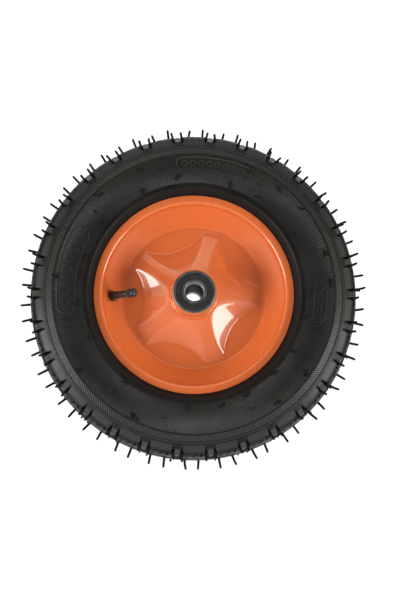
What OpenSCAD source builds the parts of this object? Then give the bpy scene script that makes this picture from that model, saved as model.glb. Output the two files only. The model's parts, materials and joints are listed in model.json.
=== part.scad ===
// Pneumatic wheelbarrow wheel: treaded tyre and inner tube on a two-piece pressed steel rim,
// with a welded hub tube, two sealed ball bearings and a rubber-covered tyre valve.
// The wheel turns about +Y, its valve side faces -Y, and the origin is the wheel's centre.

/* [Tyre] */
// Diameter over the tread
tyre_d = 360; // [300:1:440]
// Width of the section at its widest
tyre_w = 84; // [76:1:104]
// Radius of the crown's curve across the tread
crown_curve = 95; // [70:5:140]
// Flat-to-flat half width of the tread's crown
crown_half_w = 24; // [18:1:27]
// Drop from the crown to the shoulder ridge, along the radius
shoulder_drop = 17; // [12:1:20]
// Axial place of the shoulder ridge
shoulder_z = 34.5; // [31:0.5:37]
// Width of the ribbed band under the shoulder ridge
band_w = 9; // [5:0.5:10]
// Rubber thickness under the crown, tread included
crown_wall = 9; // [8:0.5:12]
// Rubber thickness of the sidewall
side_wall = 4; // [3:0.5:7]
// Height of the smooth bead band above the rim flange
bead_band_h = 7; // [5:0.5:9]
// Width of the bead on its seat
bead_w = 15; // [12:0.5:18]
// Thickness of a steel bead bundle
bead_wire_d = 5; // [3:0.5:6]

/* [Tread] */
// Repeats of the tread pattern round the tyre
pitches = 30; // [24:1:36]
// Depth of the tread grooves
groove_depth = 4; // [2:0.5:5]
// Width of the zigzag grooves
groove_w = 3.4; // [2:0.2:4]
// Axial place of the middle of a zigzag groove
groove_z = 13; // [10:0.5:15]
// Swing of a zigzag groove to each side of its middle
groove_swing = 2; // [0:0.5:3]
// Distance between the two grooves that bound a narrow shoulder rib
rib_pair = 8.4; // [6:0.2:10]
// Width of a shoulder groove, round the tyre
lateral_w = 2.4; // [1.6:0.2:3]
// Length of the short sipe on each shoulder block
sipe_l = 6; // [3:0.5:8]
// Width of a sipe
sipe_w = 0.9; // [0.6:0.1:1.5]

/* [Vent hairs] */
// Thickness of a moulded rubber hair
hair_d = 1.8; // [0.8:0.1:2.2]
// Length of a hair on the crown
crown_hair_l = 12; // [4:1:14]
// Length of a hair in a shoulder groove
shoulder_hair_l = 14; // [4:1:16]
// Length of a hair on the sidewall
side_hair_l = 6; // [3:1:10]
// Hairs round each bead
bead_hairs = 20; // [10:1:30]
// Hairs round the middle of each sidewall
side_hairs = 12; // [6:1:20]

/* [Inner tube] */
// Wall of the inner tube
tube_wall = 1.75; // [1.5:0.25:3]
// Gap left between the tube and what it presses on
tube_gap = 0.4; // [0.3:0.1:1]

/* [Rim] */
// Diameter over the rim flanges
flange_d = 219; // [214:1:226]
// Diameter of the bead seats
seat_d = 202; // [198:1:206]
// Width between the flanges
rim_w = 55; // [50:1:60]
// Steel sheet thickness
sheet = 1.5; // [1.25:0.25:2.5]
// Gap between the flange's edge and the tyre
lip_gap = 0.8; // [0.4:0.1:1.5]
// Axial place where the bead seat turns into the well
seat_end = 20; // [17:0.5:22]
// Diameter of the joint line where the two halves meet
joint_d = 159; // [150:1:164]

/* [Star disc] */
// Raised ribs of the star
ribs = 5; // [4:1:6]
// Turn of the first rib from +X
rib_turn = 1; // [0:1:71]
// Diameter over the feet of the ribs
rib_foot_d = 149.6; // [140:0.4:152]
// Height of the disc's neck, where it meets the hub tube
neck_z = 20; // [16:0.2:28]
// Radius of a scallop between two ribs, at its foot
scallop_r = 55; // [48:0.5:62]
// Smallest radius that a scallop's foot reaches
scallop_reach = 54.5; // [50:0.5:58]
// Lean of a scallop's wall, radius gained per height
scallop_lean = 1.55; // [1.2:0.05:1.8]

/* [Hub and bearings] */
// Length over the bearings' inner rings
axle_l = 90; // [75:1:120]
// Diameter of the axle bore
axle_d = 20; // [16:1:20]
// Outside diameter of a bearing
bearing_d = 47; // [47:1:58]
// Width of a bearing
bearing_w = 14; // [12:1:16]
// Ball diameter
ball_d = 7.94; // [7:0.01:8]
// Balls in a bearing
balls = 8; // [7:1:8]
// Wall of the hub tube round a bearing
hub_wall = 1.5; // [1.5:0.25:4]
// Height of the shoulder that a bearing seats against
hub_step = 2; // [1.5:0.5:4]
// Setback of the hub tube behind the inner rings
hub_setback = 0.5; // [0:0.1:1]
// Wall of the spacer tube between the inner rings
spacer_wall = 3; // [2:0.5:3.5]
// Leg of the weld round the hub tube
weld_leg = 3; // [2:0.5:3.5]

/* [Valve] */
// Place of the valve round the wheel
valve_turn = 180; // [0:1:359]
// Radius where the valve leaves the well's wall
valve_place_r = 90; // [88:0.5:92]
// Valve hole in the rim
valve_hole_d = 11.5; // [11:0.1:12.5]
// Length from the wall to the end of the rubber stem
stem_l = 26; // [20:1:28]
// Diameter of the rubber stem at its end
stem_end_d = 8; // [7.4:0.1:9]
// Diameter of the valve's threaded end
valve_thread_d = 7.7; // [7:0.1:7.9]
// Length of the threaded end
valve_thread_l = 9; // [7:0.5:11]
// Diameter of the cap
cap_d = 9.4; // [9:0.1:11]
// Length of the cap
cap_l = 12; // [11:0.5:16]

/* [Hidden] */

$fn = 64;
fit = 0.1;          // clearance between pieces that seat on each other
touch = 0.02;       // clearance between steel faces that meet
far = 400;          // longer than the wheel in any direction

tyre_r = tyre_d / 2;
side_z = tyre_w / 2;
flange_r = flange_d / 2;
flange_z = rim_w / 2;
seat_r = seat_d / 2;
joint_r = joint_d / 2;
pitch = 360 / pitches;

// ---- outline tools: a point is [radius, axial place] ----

function unit(v) = v / norm(v);
function left(v) = [-v.y, v.x];
function reversed(list) = [for (i = [len(list) - 1 : -1 : 0]) list[i]];
function flipped(list) = [for (p = reversed(list)) [p.x, -p.y]];
function last(list) = list[len(list) - 1];
function mix(a, b, t) = a + (b - a) * t;

function curve(a, b, c, d, steps = 6) = [for (i = [0 : steps]) let (t = i / steps, s = 1 - t)
    s * s * s * a + 3 * s * s * t * b + 3 * s * t * t * c + t * t * t * d];

function turn_between(centre, a, b, steps = 5) = let (u = a - centre, v = b - centre,
    angle = acos(u * v / (norm(u) * norm(v)))) [for (i = [0 : steps])
    centre + (sin(angle * (1 - i / steps)) * u + sin(angle * i / steps) * v) / sin(angle)];

// The line through corners, each inner corner bent to its own radius.
function bent(corners, radii) = concat([corners[0]],
    [for (i = [1 : len(corners) - 2]) let (a = unit(corners[i - 1] - corners[i]),
        b = unit(corners[i + 1] - corners[i]), half = acos(a * b) / 2, r = radii[i - 1])
        each turn_between(corners[i] + unit(a + b) * r / sin(half), corners[i] + a * r / tan(half),
            corners[i] + b * r / tan(half))],
    [last(corners)]);

function shifted(line, d) = [for (i = [0 : len(line) - 1]) let (
    a = unit(line[max(i, 1)] - line[max(i, 1) - 1]),
    b = unit(line[min(i, len(line) - 2) + 1] - line[min(i, len(line) - 2)]),
    n = left(unit(a + b))) line[i] + n * d / (n * left(a))];

function thick(line, t) = concat(shifted(line, t / 2), reversed(shifted(line, -t / 2)));

module wheel_frame() rotate([90, 0, 0]) children();
module revolve() rotate_extrude($fn = 180) children();
module on_side(side) mirror([0, 0, side < 0 ? 1 : 0]) children();
module tube(r_out, r_in, z_from, z_to) translate([0, 0, z_from]) difference() {
    cylinder(r = r_out, h = z_to - z_from);
    translate([0, 0, -1]) cylinder(r = r_in, h = z_to - z_from + 2);
}

// ---- rim ----

well_top = [seat_r - sheet / 2, seat_end];
well_foot = [joint_r, sheet / 2];
well_angle = atan2(well_top.y - well_foot.y, well_top.x - well_foot.x);
hub_r = bearing_d / 2 + hub_wall;

// Middle of the sheet, from the flange's edge to the hub.
rim_line = bent([[flange_r - sheet / 2, flange_z + sheet / 2], [seat_r - sheet / 2, flange_z + sheet / 2],
    well_top, well_foot, [hub_r, sheet / 2]], [3.5, 6, 6]);

module rim_section(t) {
    polygon(thick(rim_line, t));
    translate(rim_line[0]) circle(d = t, $fn = 24);
}

// Height of the star's ribs, which run straight from their feet to the hub tube.
rib_slope = (neck_z - sheet) / (rib_foot_d / 2 - hub_r);
function rib_height(r) = neck_z - (r - hub_r) * rib_slope;

rib_line = [[rib_foot_d / 2, sheet], [hub_r - 2, rib_height(hub_r - 2)]];
scallop_below = 10;  // how far a scallop's cutting cone reaches under the disc

// The space under the raised star: outer skin at inset 0, inner skin at inset sheet.
module star_block(inset) {
    line = shifted(rib_line, inset);
    foot = line[0] + unit(line[0] - line[1]) * (inset + sheet) * 1.3;
    centre_r = scallop_reach + scallop_r;
    grow = inset * sqrt(1 + scallop_lean * scallop_lean);
    difference() {
        revolve() polygon([[0, foot.y], foot, last(line), [0, last(line).y]]);
        for (i = [0 : ribs - 1]) rotate([0, 0, rib_turn + (i + 0.5) * 360 / ribs])
            translate([centre_r, 0, -scallop_below])
                cylinder(r1 = scallop_r + grow - (scallop_below + sheet) * scallop_lean,
                    r2 = scallop_r + grow + (neck_z + sheet) * scallop_lean,
                    h = scallop_below + neck_z + 2 * sheet);
    }
}

valve_place_t = (valve_place_r - well_foot.x) / (well_top.x - well_foot.x);
module valve_frame() rotate([0, 0, valve_turn])
    translate([valve_place_r, 0, mix(well_foot.y, well_top.y, valve_place_t)])
        rotate([0, -well_angle, 0]) children();

module rim_half() color("orangered") difference() {
    union() {
        revolve() rim_section(sheet);
        star_block(0);
    }
    star_block(sheet);
    translate([0, 0, -far / 2]) cylinder(r = hub_r + touch, h = far);
    children();
}

module front_rim_half() rim_half() valve_frame() translate([0, 0, -8]) cylinder(d = valve_hole_d, h = 16);
module rear_rim_half() on_side(-1) rim_half();

weld_h = 5;
module rim_seam_weld() color("dimgray") difference() {
    revolve() translate([joint_r + weld_h / 2, 0]) circle(d = weld_h, $fn = 40);
    for (side = [1, -1]) on_side(side) revolve() rim_section(sheet + 2 * touch);
    translate([0, 0, -far / 2]) cylinder(r = joint_r, h = far);
}

module hub_weld() color("orangered") revolve() polygon(concat(
    curve([hub_r + touch, rib_height(hub_r) + weld_leg * 0.8],
        [hub_r + weld_leg * 0.5, rib_height(hub_r) + weld_leg * 0.8],
        [hub_r + weld_leg, rib_height(hub_r)],
        [hub_r + weld_leg, rib_height(hub_r + weld_leg) + touch]),
    [[hub_r + touch, rib_height(hub_r + touch) + touch]]));

// ---- tyre ----

ridge = [tyre_r - shoulder_drop, shoulder_z];
band_foot = [ridge.x - band_w, mix(shoulder_z, side_z, 0.55)];
widest = [min((seat_r + tyre_r) / 2 - 3, band_foot.x - 1), side_z];
bead_line = [min(flange_r + bead_band_h, widest.x - 2), mix(flange_z, side_z, 0.73)];
heel_r = 5;
ridge_h = 0.6;
toe = [seat_r + fit, flange_z - fit - bead_w];
crown_edge_angle = asin(crown_half_w / crown_curve);

function crown_at(z) = tyre_r - crown_curve + sqrt(crown_curve * crown_curve - z * z);

crown_outline = [for (i = [0 : 5]) let (a = crown_edge_angle * i / 5)
    [tyre_r - crown_curve + crown_curve * cos(a), crown_curve * sin(a)]];

tyre_outside = concat(
    crown_outline,
    curve([crown_at(crown_half_w), crown_half_w], [crown_at(crown_half_w) - 1.6, crown_half_w + 5],
        [ridge.x + 6, ridge.y - 2.5], ridge),
    [[ridge.x - 0.4, ridge.y + ridge_h + 0.4],
        [ridge.x - 1.2, ridge.y + ridge_h + 0.4],
        [ridge.x - 1.6, ridge.y + 0.5]],
    [band_foot, [band_foot.x - 0.3, band_foot.y + ridge_h], [band_foot.x - 0.9, band_foot.y + ridge_h]],
    curve([band_foot.x - 1.2, band_foot.y + 0.2], [mix(band_foot.x, widest.x, 0.5), side_z - 0.6],
        [mix(band_foot.x, widest.x, 0.7), side_z], widest),
    curve(widest, [mix(widest.x, bead_line.x, 0.5), side_z], [bead_line.x + 3, bead_line.y + 0.8],
        bead_line),
    [[bead_line.x - 0.5, bead_line.y - ridge_h]],
    curve([bead_line.x - 0.9, bead_line.y - ridge_h - 0.1], [bead_line.x - 3, bead_line.y - 1.2],
        [flange_r + lip_gap + 2, flange_z + sheet * 2.5], [flange_r + lip_gap, flange_z + sheet], 4));

// Past the flange's edge and down its inner face to the heel, then along the seat to the toe.
tyre_foot = concat(
    [[flange_r + lip_gap, flange_z - fit]],
    turn_between([seat_r + fit + heel_r, flange_z - fit - heel_r], [seat_r + fit + heel_r, flange_z - fit],
        [seat_r + fit, flange_z - fit - heel_r], 4),
    [toe]);

// The cavity's outline from the bead's toe to the middle of the crown.
cavity_z = side_z - side_wall;
cavity_r = tyre_r - crown_wall;
cavity_side_r = min(widest.x, cavity_r - 25);
bead_roof_z = flange_z + 9.5;
cavity = concat(
    curve([toe.x + 1.5, toe.y], [toe.x + 7, toe.y], [seat_r + bead_w * 0.7, bead_roof_z],
        [cavity_side_r, cavity_z]),
    curve([cavity_side_r + 2, cavity_z], [mix(widest.x, cavity_r, 0.45), cavity_z],
        [cavity_r, cavity_z * 0.75], [cavity_r, 0], 8));

module tyre_section() difference() {
    half = concat(tyre_outside, tyre_foot, cavity);
    polygon(concat(half, flipped([for (i = [1 : len(half) - 2]) half[i]])));
    for (side = [1, -1]) bead_wire_section(side, fit);
}

bead_wire_place = [seat_r + bead_wire_d * 1.1, flange_z - bead_wire_d * 1.3];
module bead_wire_section(side, grow)
    translate([bead_wire_place.x, side * bead_wire_place.y]) circle(d = bead_wire_d + 2 * grow, $fn = 32);

module bead_wire(side) color("silver") revolve() bead_wire_section(side, 0);
module front_bead_wire() bead_wire(1);
module rear_bead_wire() bead_wire(-1);

// One run of a zigzag groove, half a pitch long.
module zigzag_cut(up) {
    run = tyre_r * sin(pitch / 2);
    rotate([up * atan2(2 * groove_swing, run), 0, 0])
        cube([groove_depth * 2, run + groove_w, groove_w], center = true);
}

// A shoulder groove's floor runs from the zigzag groove out to the shoulder ridge.
floor_start = [crown_at(groove_z) - groove_depth, groove_z];
floor_end = [ridge.x + 1.2, ridge.y];
floor_angle = atan2(floor_end.x - floor_start.x, floor_end.y - floor_start.y);
floor_l = norm(floor_end - floor_start);
sipe_turn = 40;

module shoulder_cuts() for (edge = [1, -1])
    translate([floor_start.x, edge * rib_pair / 2, floor_start.y]) rotate([0, floor_angle, 0])
        translate([0, -lateral_w / 2, 0]) cube([groove_depth * 3, lateral_w, floor_l + 6]);

module sipe_cut() translate([crown_at(crown_half_w), 0, crown_half_w - 1]) rotate([sipe_turn, 0, 0])
    cube([groove_depth, sipe_w, sipe_l], center = true);

module tread_cuts(side) for (i = [0 : pitches - 1]) rotate([0, 0, i * pitch]) on_side(side) {
    shoulder_cuts();
    rotate([0, 0, pitch / 2]) sipe_cut();
    rotate([0, 0, pitch / 4]) translate([tyre_r, 0, groove_z]) zigzag_cut(1);
    rotate([0, 0, -pitch / 4]) translate([tyre_r, 0, groove_z]) zigzag_cut(-1);
}

module tyre() color("#262626") difference() {
    revolve() tyre_section();
    tread_cuts(1);
    tread_cuts(-1);
}

// ---- vent hairs ----

hair_root = 1;       // length of a hair inside the rubber
crown_hair_z = 3;
crown_lean = 2;
shoulder_lean = 12;
bead_lean = 50;
side_lean = 70;

// A straight hair standing on the surface point [radius, axial place], leaning from the radius by lean.
module hair(place, lean, l) translate([place.x, 0, place.y]) rotate([0, 90 - lean, 0])
    translate([0, 0, -hair_root]) cylinder(d = hair_d, h = l + hair_root, $fn = 16);

module crown_vent_hairs() color("#1c1c1c") for (i = [0 : pitches - 1]) {
    rotate([0, 0, (i + 0.24) * pitch])
        hair([crown_at(crown_hair_z), crown_hair_z], crown_lean, crown_hair_l);
    rotate([0, 0, (i - 0.35) * pitch])
        hair([crown_at(crown_hair_z), -crown_hair_z], -crown_lean, crown_hair_l);
}

shoulder_hair_place = mix(floor_start, floor_end, 0.62);
module shoulder_vent_hairs(side) color("#1c1c1c") on_side(side)
    for (i = [0 : pitches - 1], edge = [1, -1])
        rotate([0, 0, i * pitch + edge * asin(rib_pair / 2 / tyre_r)])
            hair(shoulder_hair_place, shoulder_lean, shoulder_hair_l);
module front_shoulder_vent_hairs() shoulder_vent_hairs(1);
module rear_shoulder_vent_hairs() shoulder_vent_hairs(-1);

module sidewall_vent_hairs(side) color("#1c1c1c") on_side(side) {
    for (i = [0 : bead_hairs - 1]) rotate([0, 0, (i + 0.6) * 360 / bead_hairs])
        hair([bead_line.x + 1.5, bead_line.y + 0.3], bead_lean, side_hair_l);
    for (i = [0 : side_hairs - 1]) rotate([0, 0, (i + 0.1) * 360 / side_hairs])
        hair(widest, side_lean, side_hair_l);
}
module front_sidewall_vent_hairs() sidewall_vent_hairs(1);
module rear_sidewall_vent_hairs() sidewall_vent_hairs(-1);

// ---- inner tube ----

// The space that the tube fills: the well between the two rim halves, and the tyre's cavity.
module tube_space() {
    wall_under = [sin(well_angle), -cos(well_angle)] * sheet / 2;
    half = concat([[joint_r + weld_h + touch, 0]],
        [for (t = [0.3, 0.85]) mix(well_foot, well_top, t) + wall_under],
        [toe], cavity);
    polygon(concat(half, flipped([for (i = [1 : len(half) - 2]) half[i]])));
}

module inner_tube() color("#333333") difference() {
    revolve() difference() {
        offset(delta = -tube_gap) tube_space();
        offset(delta = -tube_gap - tube_wall) tube_space();
    }
    valve_frame() {
        translate([0, 0, -sheet / 2 - base_h - 2 * touch]) cylinder(r = base_r + fit, h = base_h + sheet);
        translate([0, 0, -far / 2]) cylinder(r = air_r, h = far / 2);
    }
}

// ---- hub and bearings ----

tube_end = axle_l / 2 - hub_setback;
bearing_z = axle_l / 2 - bearing_w / 2;

module hub_tube() color("orangered") difference() {
    tube(hub_r, bearing_d / 2 - hub_step, -tube_end, tube_end);
    for (side = [1, -1]) on_side(side) translate([0, 0, axle_l / 2 - bearing_w])
        cylinder(d = bearing_d, h = bearing_w);
}
module front_hub_weld() hub_weld();
module rear_hub_weld() on_side(-1) hub_weld();

module axle_spacer() color("silver")
    tube(axle_d / 2 + spacer_wall, axle_d / 2, -axle_l / 2 + bearing_w, axle_l / 2 - bearing_w);

race_r = (axle_d + bearing_d) / 4;
ball_r = ball_d / 2;
ball_gap = 0.08;     // between a ball and its raceway
pocket_gap = 0.12;   // between a ball and its cage
seal_gap = 0.15;     // between a seal's lip and the inner ring
cage_wall = 2.2;
cage_edge = 0.7;     // cage beyond the balls, each side
groove_r = ball_r + ball_gap;
shoulder_h = 1.5;    // how far a raceway's shoulders come over the balls
seal_seat = 1.1;
seal_w = 1.4;
seal_inset = 0.5;
seal_seat_gap = 0.2;
land_in = race_r - groove_r + shoulder_h;
land_out = race_r + groove_r - shoulder_h;
edge = 0.8;          // chamfer of a ring's outer edges

module on_bearing(side) on_side(side) translate([0, 0, bearing_z]) children();

module ring_outline(wall, land, seat, inward) {
    h = bearing_w / 2;
    s = inward ? 1 : -1;
    step = h - seal_inset - seal_w - seal_seat_gap;
    difference() {
        polygon([[wall + s * edge, -h], [seat, -h], [seat, -step], [land, -step], [land, step],
            [seat, step], [seat, h], [wall + s * edge, h], [wall, h - edge], [wall, -h + edge]]);
        translate([race_r, 0]) circle(r = groove_r, $fn = 64);
    }
}

module bearing_outer_ring(side) color("gray") on_bearing(side) revolve()
    ring_outline(bearing_d / 2, land_out, land_out + seal_seat, false);
module bearing_inner_ring(side) color("silver") on_bearing(side) revolve()
    ring_outline(axle_d / 2, land_in, land_in - seal_seat / 2, true);
module bearing_balls(side) color("white") on_bearing(side)
    for (i = [0 : balls - 1]) rotate([0, 0, i * 360 / balls]) translate([race_r, 0, 0]) sphere(r = ball_r);
module bearing_cage(side) color("darkgoldenrod") on_bearing(side) difference() {
    tube(race_r + cage_wall / 2, race_r - cage_wall / 2, -ball_r - cage_edge, ball_r + cage_edge);
    for (i = [0 : balls - 1]) rotate([0, 90, i * 360 / balls])
        cylinder(r = ball_r + pocket_gap, h = bearing_d / 2);
}
module bearing_seal(side, face) color("#202020") on_bearing(side) {
    z = face * (bearing_w / 2 - seal_inset - seal_w / 2);
    tube(land_out + seal_seat - touch, land_in - seal_seat / 2 + seal_gap, z - seal_w / 2, z + seal_w / 2);
}

module front_bearing_outer_ring() bearing_outer_ring(1);
module front_bearing_inner_ring() bearing_inner_ring(1);
module front_bearing_balls() bearing_balls(1);
module front_bearing_cage() bearing_cage(1);
module front_bearing_outer_seal() bearing_seal(1, 1);
module front_bearing_inner_seal() bearing_seal(1, -1);
module rear_bearing_outer_ring() bearing_outer_ring(-1);
module rear_bearing_inner_ring() bearing_inner_ring(-1);
module rear_bearing_balls() bearing_balls(-1);
module rear_bearing_cage() bearing_cage(-1);
module rear_bearing_outer_seal() bearing_seal(-1, 1);
module rear_bearing_inner_seal() bearing_seal(-1, -1);

// ---- valve, in its own frame: the origin is in the well's wall and +Z points out of the rim ----

air_r = 1.2;
core_r = 2.3;
body_r = 3.1;
base_r = 9;
base_h = 1.2;
hole_fit = 0.35;
thread_start = stem_l - 1;
thread_end = stem_l + valve_thread_l;
core_l = 9;
core_head = 1.5;     // from the core's end to the end of the thread
seal_h = 1;
pin_r = 0.5;
pin_hole_r = pin_r + 0.15;
pin_head_h = 0.6;
pin_head_z = thread_end - 2.1;
spring_seat_z = thread_end - 5.5;
spring_room_r = core_r - 0.7;
cap_start = stem_l + 0.3;
cap_clearance = 0.2;

module valve_base() color("#2a2a2a") valve_frame() difference() {
    translate([0, 0, -sheet / 2 - touch - base_h]) cylinder(r1 = base_r - 3, r2 = base_r, h = base_h);
    translate([0, 0, -far / 2]) cylinder(r = air_r, h = far);
}

module valve_stem() color("#2a2a2a") valve_frame() rotate_extrude() polygon(concat(
    [[body_r + touch, -sheet / 2 - touch], [valve_hole_d / 2 - hole_fit, -sheet / 2 - touch]],
    [[valve_hole_d / 2 - hole_fit, sheet / 2 + 1]],
    curve([valve_hole_d / 2 - hole_fit - 0.4, sheet / 2 + 2],
        [valve_hole_d / 2 - hole_fit - 0.8, stem_l * 0.4],
        [stem_end_d / 2, stem_l * 0.5], [stem_end_d / 2, stem_l - 0.5]),
    [[stem_end_d / 2 - 0.5, stem_l], [body_r + touch, stem_l]]));

module valve_body() color("goldenrod") valve_frame() difference() {
    union() {
        translate([0, 0, -sheet / 2 - touch]) cylinder(r = body_r, h = stem_l + sheet / 2);
        translate([0, 0, stem_l + touch]) cylinder(d = valve_thread_d, h = valve_thread_l - touch);
        translate([0, 0, thread_start]) cylinder(r = body_r, h = 2);
    }
    translate([0, 0, thread_end - core_l - seal_h]) cylinder(r = core_r + fit, h = core_l + 2 * seal_h);
    translate([0, 0, -far / 2]) cylinder(r = air_r, h = far);
}

module valve_core() color("goldenrod") valve_frame() translate([0, 0, thread_end - core_l]) difference() {
    cylinder(r = core_r, h = core_l - core_head);
    translate([0, 0, -1]) cylinder(r = pin_hole_r, h = core_l);
    translate([0, 0, spring_seat_z - thread_end + core_l]) cylinder(r = spring_room_r, h = core_l);
}

module valve_core_seal() color("black") valve_frame()
    tube(core_r, pin_hole_r, thread_end - core_l - seal_h + touch, thread_end - core_l - touch);

module valve_pin() color("gold") valve_frame() {
    translate([0, 0, thread_end - core_l - seal_h / 2]) cylinder(r = pin_r, h = core_l - 0.3);
    translate([0, 0, pin_head_z]) cylinder(r = core_r - 0.9, h = pin_head_h);
}

// A coil from ring to ring: one closed tube swept along a helix.
spring_turns = 4;
spring_steps = 14;
spring_sides = 6;
spring_wire_r = 0.18;
spring_r = 1.15;
spring_from = spring_seat_z + spring_wire_r + touch;
spring_to = pin_head_z - spring_wire_r - touch;
spring_rings = spring_turns * spring_steps;
function spring_point(i, k) = let (a = 360 * i / spring_steps, b = 360 * k / spring_sides,
    r = spring_r + spring_wire_r * cos(b))
    [r * cos(a), r * sin(a), mix(spring_from, spring_to, i / spring_rings) + spring_wire_r * sin(b)];

function spring_band(i) = [for (k = [0 : spring_sides - 1])
    let (a = i * spring_sides, n = (k + 1) % spring_sides, b = a + spring_sides)
    each [[a + k, b + k, a + n], [a + n, b + k, b + n]]];

module valve_spring() color("silver") valve_frame() polyhedron(
    points = [for (i = [0 : spring_rings], k = [0 : spring_sides - 1]) spring_point(i, k)],
    faces = concat([[for (k = [0 : spring_sides - 1]) k]],
        [for (i = [0 : spring_rings - 1]) each spring_band(i)],
        [[for (k = [spring_sides - 1 : -1 : 0]) spring_rings * spring_sides + k]]));

cap_ribs = 12;      // grooves round the cap
module valve_cap() color("#151515") valve_frame() difference() {
    translate([0, 0, cap_start]) rotate_extrude() polygon([[0, 0], [cap_d / 2 - 0.4, 0], [cap_d / 2, 0.8],
        [cap_d / 2, cap_l * 0.62], [cap_d / 2 - 0.7, cap_l - 1.4], [cap_d / 2 - 2, cap_l], [0, cap_l]]);
    translate([0, 0, cap_start - 1]) cylinder(d = valve_thread_d + cap_clearance, h = valve_thread_l + 2);
    for (i = [0 : cap_ribs - 1]) rotate([0, 0, i * 360 / cap_ribs])
        translate([cap_d / 2 + 0.1, 0, cap_start + 1.6]) cylinder(r = 0.4, h = cap_l * 0.5, $fn = 16);
}

wheel_frame() tyre();
wheel_frame() front_bead_wire();
wheel_frame() rear_bead_wire();
wheel_frame() crown_vent_hairs();
wheel_frame() front_shoulder_vent_hairs();
wheel_frame() rear_shoulder_vent_hairs();
wheel_frame() front_sidewall_vent_hairs();
wheel_frame() rear_sidewall_vent_hairs();
wheel_frame() inner_tube();
wheel_frame() front_rim_half();
wheel_frame() rear_rim_half();
wheel_frame() rim_seam_weld();
wheel_frame() hub_tube();
wheel_frame() front_hub_weld();
wheel_frame() rear_hub_weld();
wheel_frame() axle_spacer();
wheel_frame() front_bearing_outer_ring();
wheel_frame() front_bearing_inner_ring();
wheel_frame() front_bearing_balls();
wheel_frame() front_bearing_cage();
wheel_frame() front_bearing_outer_seal();
wheel_frame() front_bearing_inner_seal();
wheel_frame() rear_bearing_outer_ring();
wheel_frame() rear_bearing_inner_ring();
wheel_frame() rear_bearing_balls();
wheel_frame() rear_bearing_cage();
wheel_frame() rear_bearing_outer_seal();
wheel_frame() rear_bearing_inner_seal();
wheel_frame() valve_base();
wheel_frame() valve_stem();
wheel_frame() valve_body();
wheel_frame() valve_core();
wheel_frame() valve_core_seal();
wheel_frame() valve_pin();
wheel_frame() valve_spring();
wheel_frame() valve_cap();
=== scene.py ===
"""Looks of a pneumatic wheelbarrow wheel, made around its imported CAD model.

The wheel's centre is the origin, its axle is the Y axis and the valve side faces -Y.
An angle goes round the wheel from +X towards +Z, and depth is the distance from the wheel's mid-plane.
Lengths are in millimetres until they become vertices, which are in metres.
"""

import json
import math
import random

import bmesh
import bpy
import numpy as np
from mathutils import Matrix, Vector


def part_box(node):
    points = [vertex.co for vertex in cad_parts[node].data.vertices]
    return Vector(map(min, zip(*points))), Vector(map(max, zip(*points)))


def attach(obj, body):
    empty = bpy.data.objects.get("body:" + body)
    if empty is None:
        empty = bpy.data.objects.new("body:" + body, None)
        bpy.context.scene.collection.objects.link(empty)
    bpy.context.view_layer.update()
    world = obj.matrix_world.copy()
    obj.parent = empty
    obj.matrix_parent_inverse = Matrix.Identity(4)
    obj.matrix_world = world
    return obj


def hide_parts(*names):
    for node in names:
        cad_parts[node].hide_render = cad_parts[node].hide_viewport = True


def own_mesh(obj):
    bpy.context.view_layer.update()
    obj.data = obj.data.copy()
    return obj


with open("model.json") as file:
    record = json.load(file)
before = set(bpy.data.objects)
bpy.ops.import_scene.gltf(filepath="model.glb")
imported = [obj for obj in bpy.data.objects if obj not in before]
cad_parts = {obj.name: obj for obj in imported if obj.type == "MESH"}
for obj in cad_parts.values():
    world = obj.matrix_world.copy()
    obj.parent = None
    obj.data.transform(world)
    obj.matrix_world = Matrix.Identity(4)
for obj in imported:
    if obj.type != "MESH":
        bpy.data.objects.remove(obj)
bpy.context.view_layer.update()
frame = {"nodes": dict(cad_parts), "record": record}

MM = 0.001
FULL_TURN = 2 * math.pi
FRONT, REAR = -1, 1
CENTRE = Vector((0, 0, 0))
AXLE = Vector((0, 1, 0))


def box_mm(node):
    """Lowest and highest corner of a CAD node, in millimetres."""
    low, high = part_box(node)
    return [c / MM for c in low], [c / MM for c in high]


def mount(name):
    """A mount's place in millimetres and its axis."""
    found = next(m for m in frame["record"]["mounts"] if m["name"] == name)
    return Vector(found["pos_m"]) / MM, Vector(found["axis"]).normalized()


def side_name(side, rest):
    """The name of a piece that the wheel has on both sides."""
    return ("front_" if side == FRONT else "rear_") + rest


# ---------------------------------------------------------------------------
# Driving sizes, read from the frame or named here
# ---------------------------------------------------------------------------

TYRE_R = max(box_mm("tyre")[1][0], box_mm("tyre")[1][2])
SIDE_DEPTH = box_mm("tyre")[1][1]
FLANGE_R = box_mm("front_rim_half")[1][0]
HUB_R = box_mm("hub_tube")[1][0]
BORE_R = next(m for m in frame["record"]["mounts"] if m["name"] == "axle_bore")["dims"]["r_mm"]
WELD_R = box_mm("front_hub_weld")[1][0]
WELD_TOP = -box_mm("front_hub_weld")[0][1]
NECK_DEPTH = WELD_TOP - 0.8 * (WELD_R - HUB_R)
VALVE_END, VALVE_AXIS = mount("valve_thread")
THREAD_L = 9.0
STEM_L = 26.0
VALVE_ROOT = VALVE_END - VALVE_AXIS * (THREAD_L + STEM_L)
HAIR_TIP_R = max(box_mm("crown_vent_hairs")[1][0], box_mm("crown_vent_hairs")[1][2])

PITCHES = 30
PITCH = FULL_TURN / PITCHES


# ---------------------------------------------------------------------------
# Outline and mesh tools
# ---------------------------------------------------------------------------


def bezier(a, b, c, d, steps):
    """Points of a cubic curve, without its first point."""
    t = (np.arange(1, steps + 1) / steps)[:, None]
    s = 1 - t
    a, b, c, d = (np.array(p, float) for p in (a, b, c, d))
    return s**3 * a + 3 * s**2 * t * b + 3 * s * t**2 * c + t**3 * d


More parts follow.
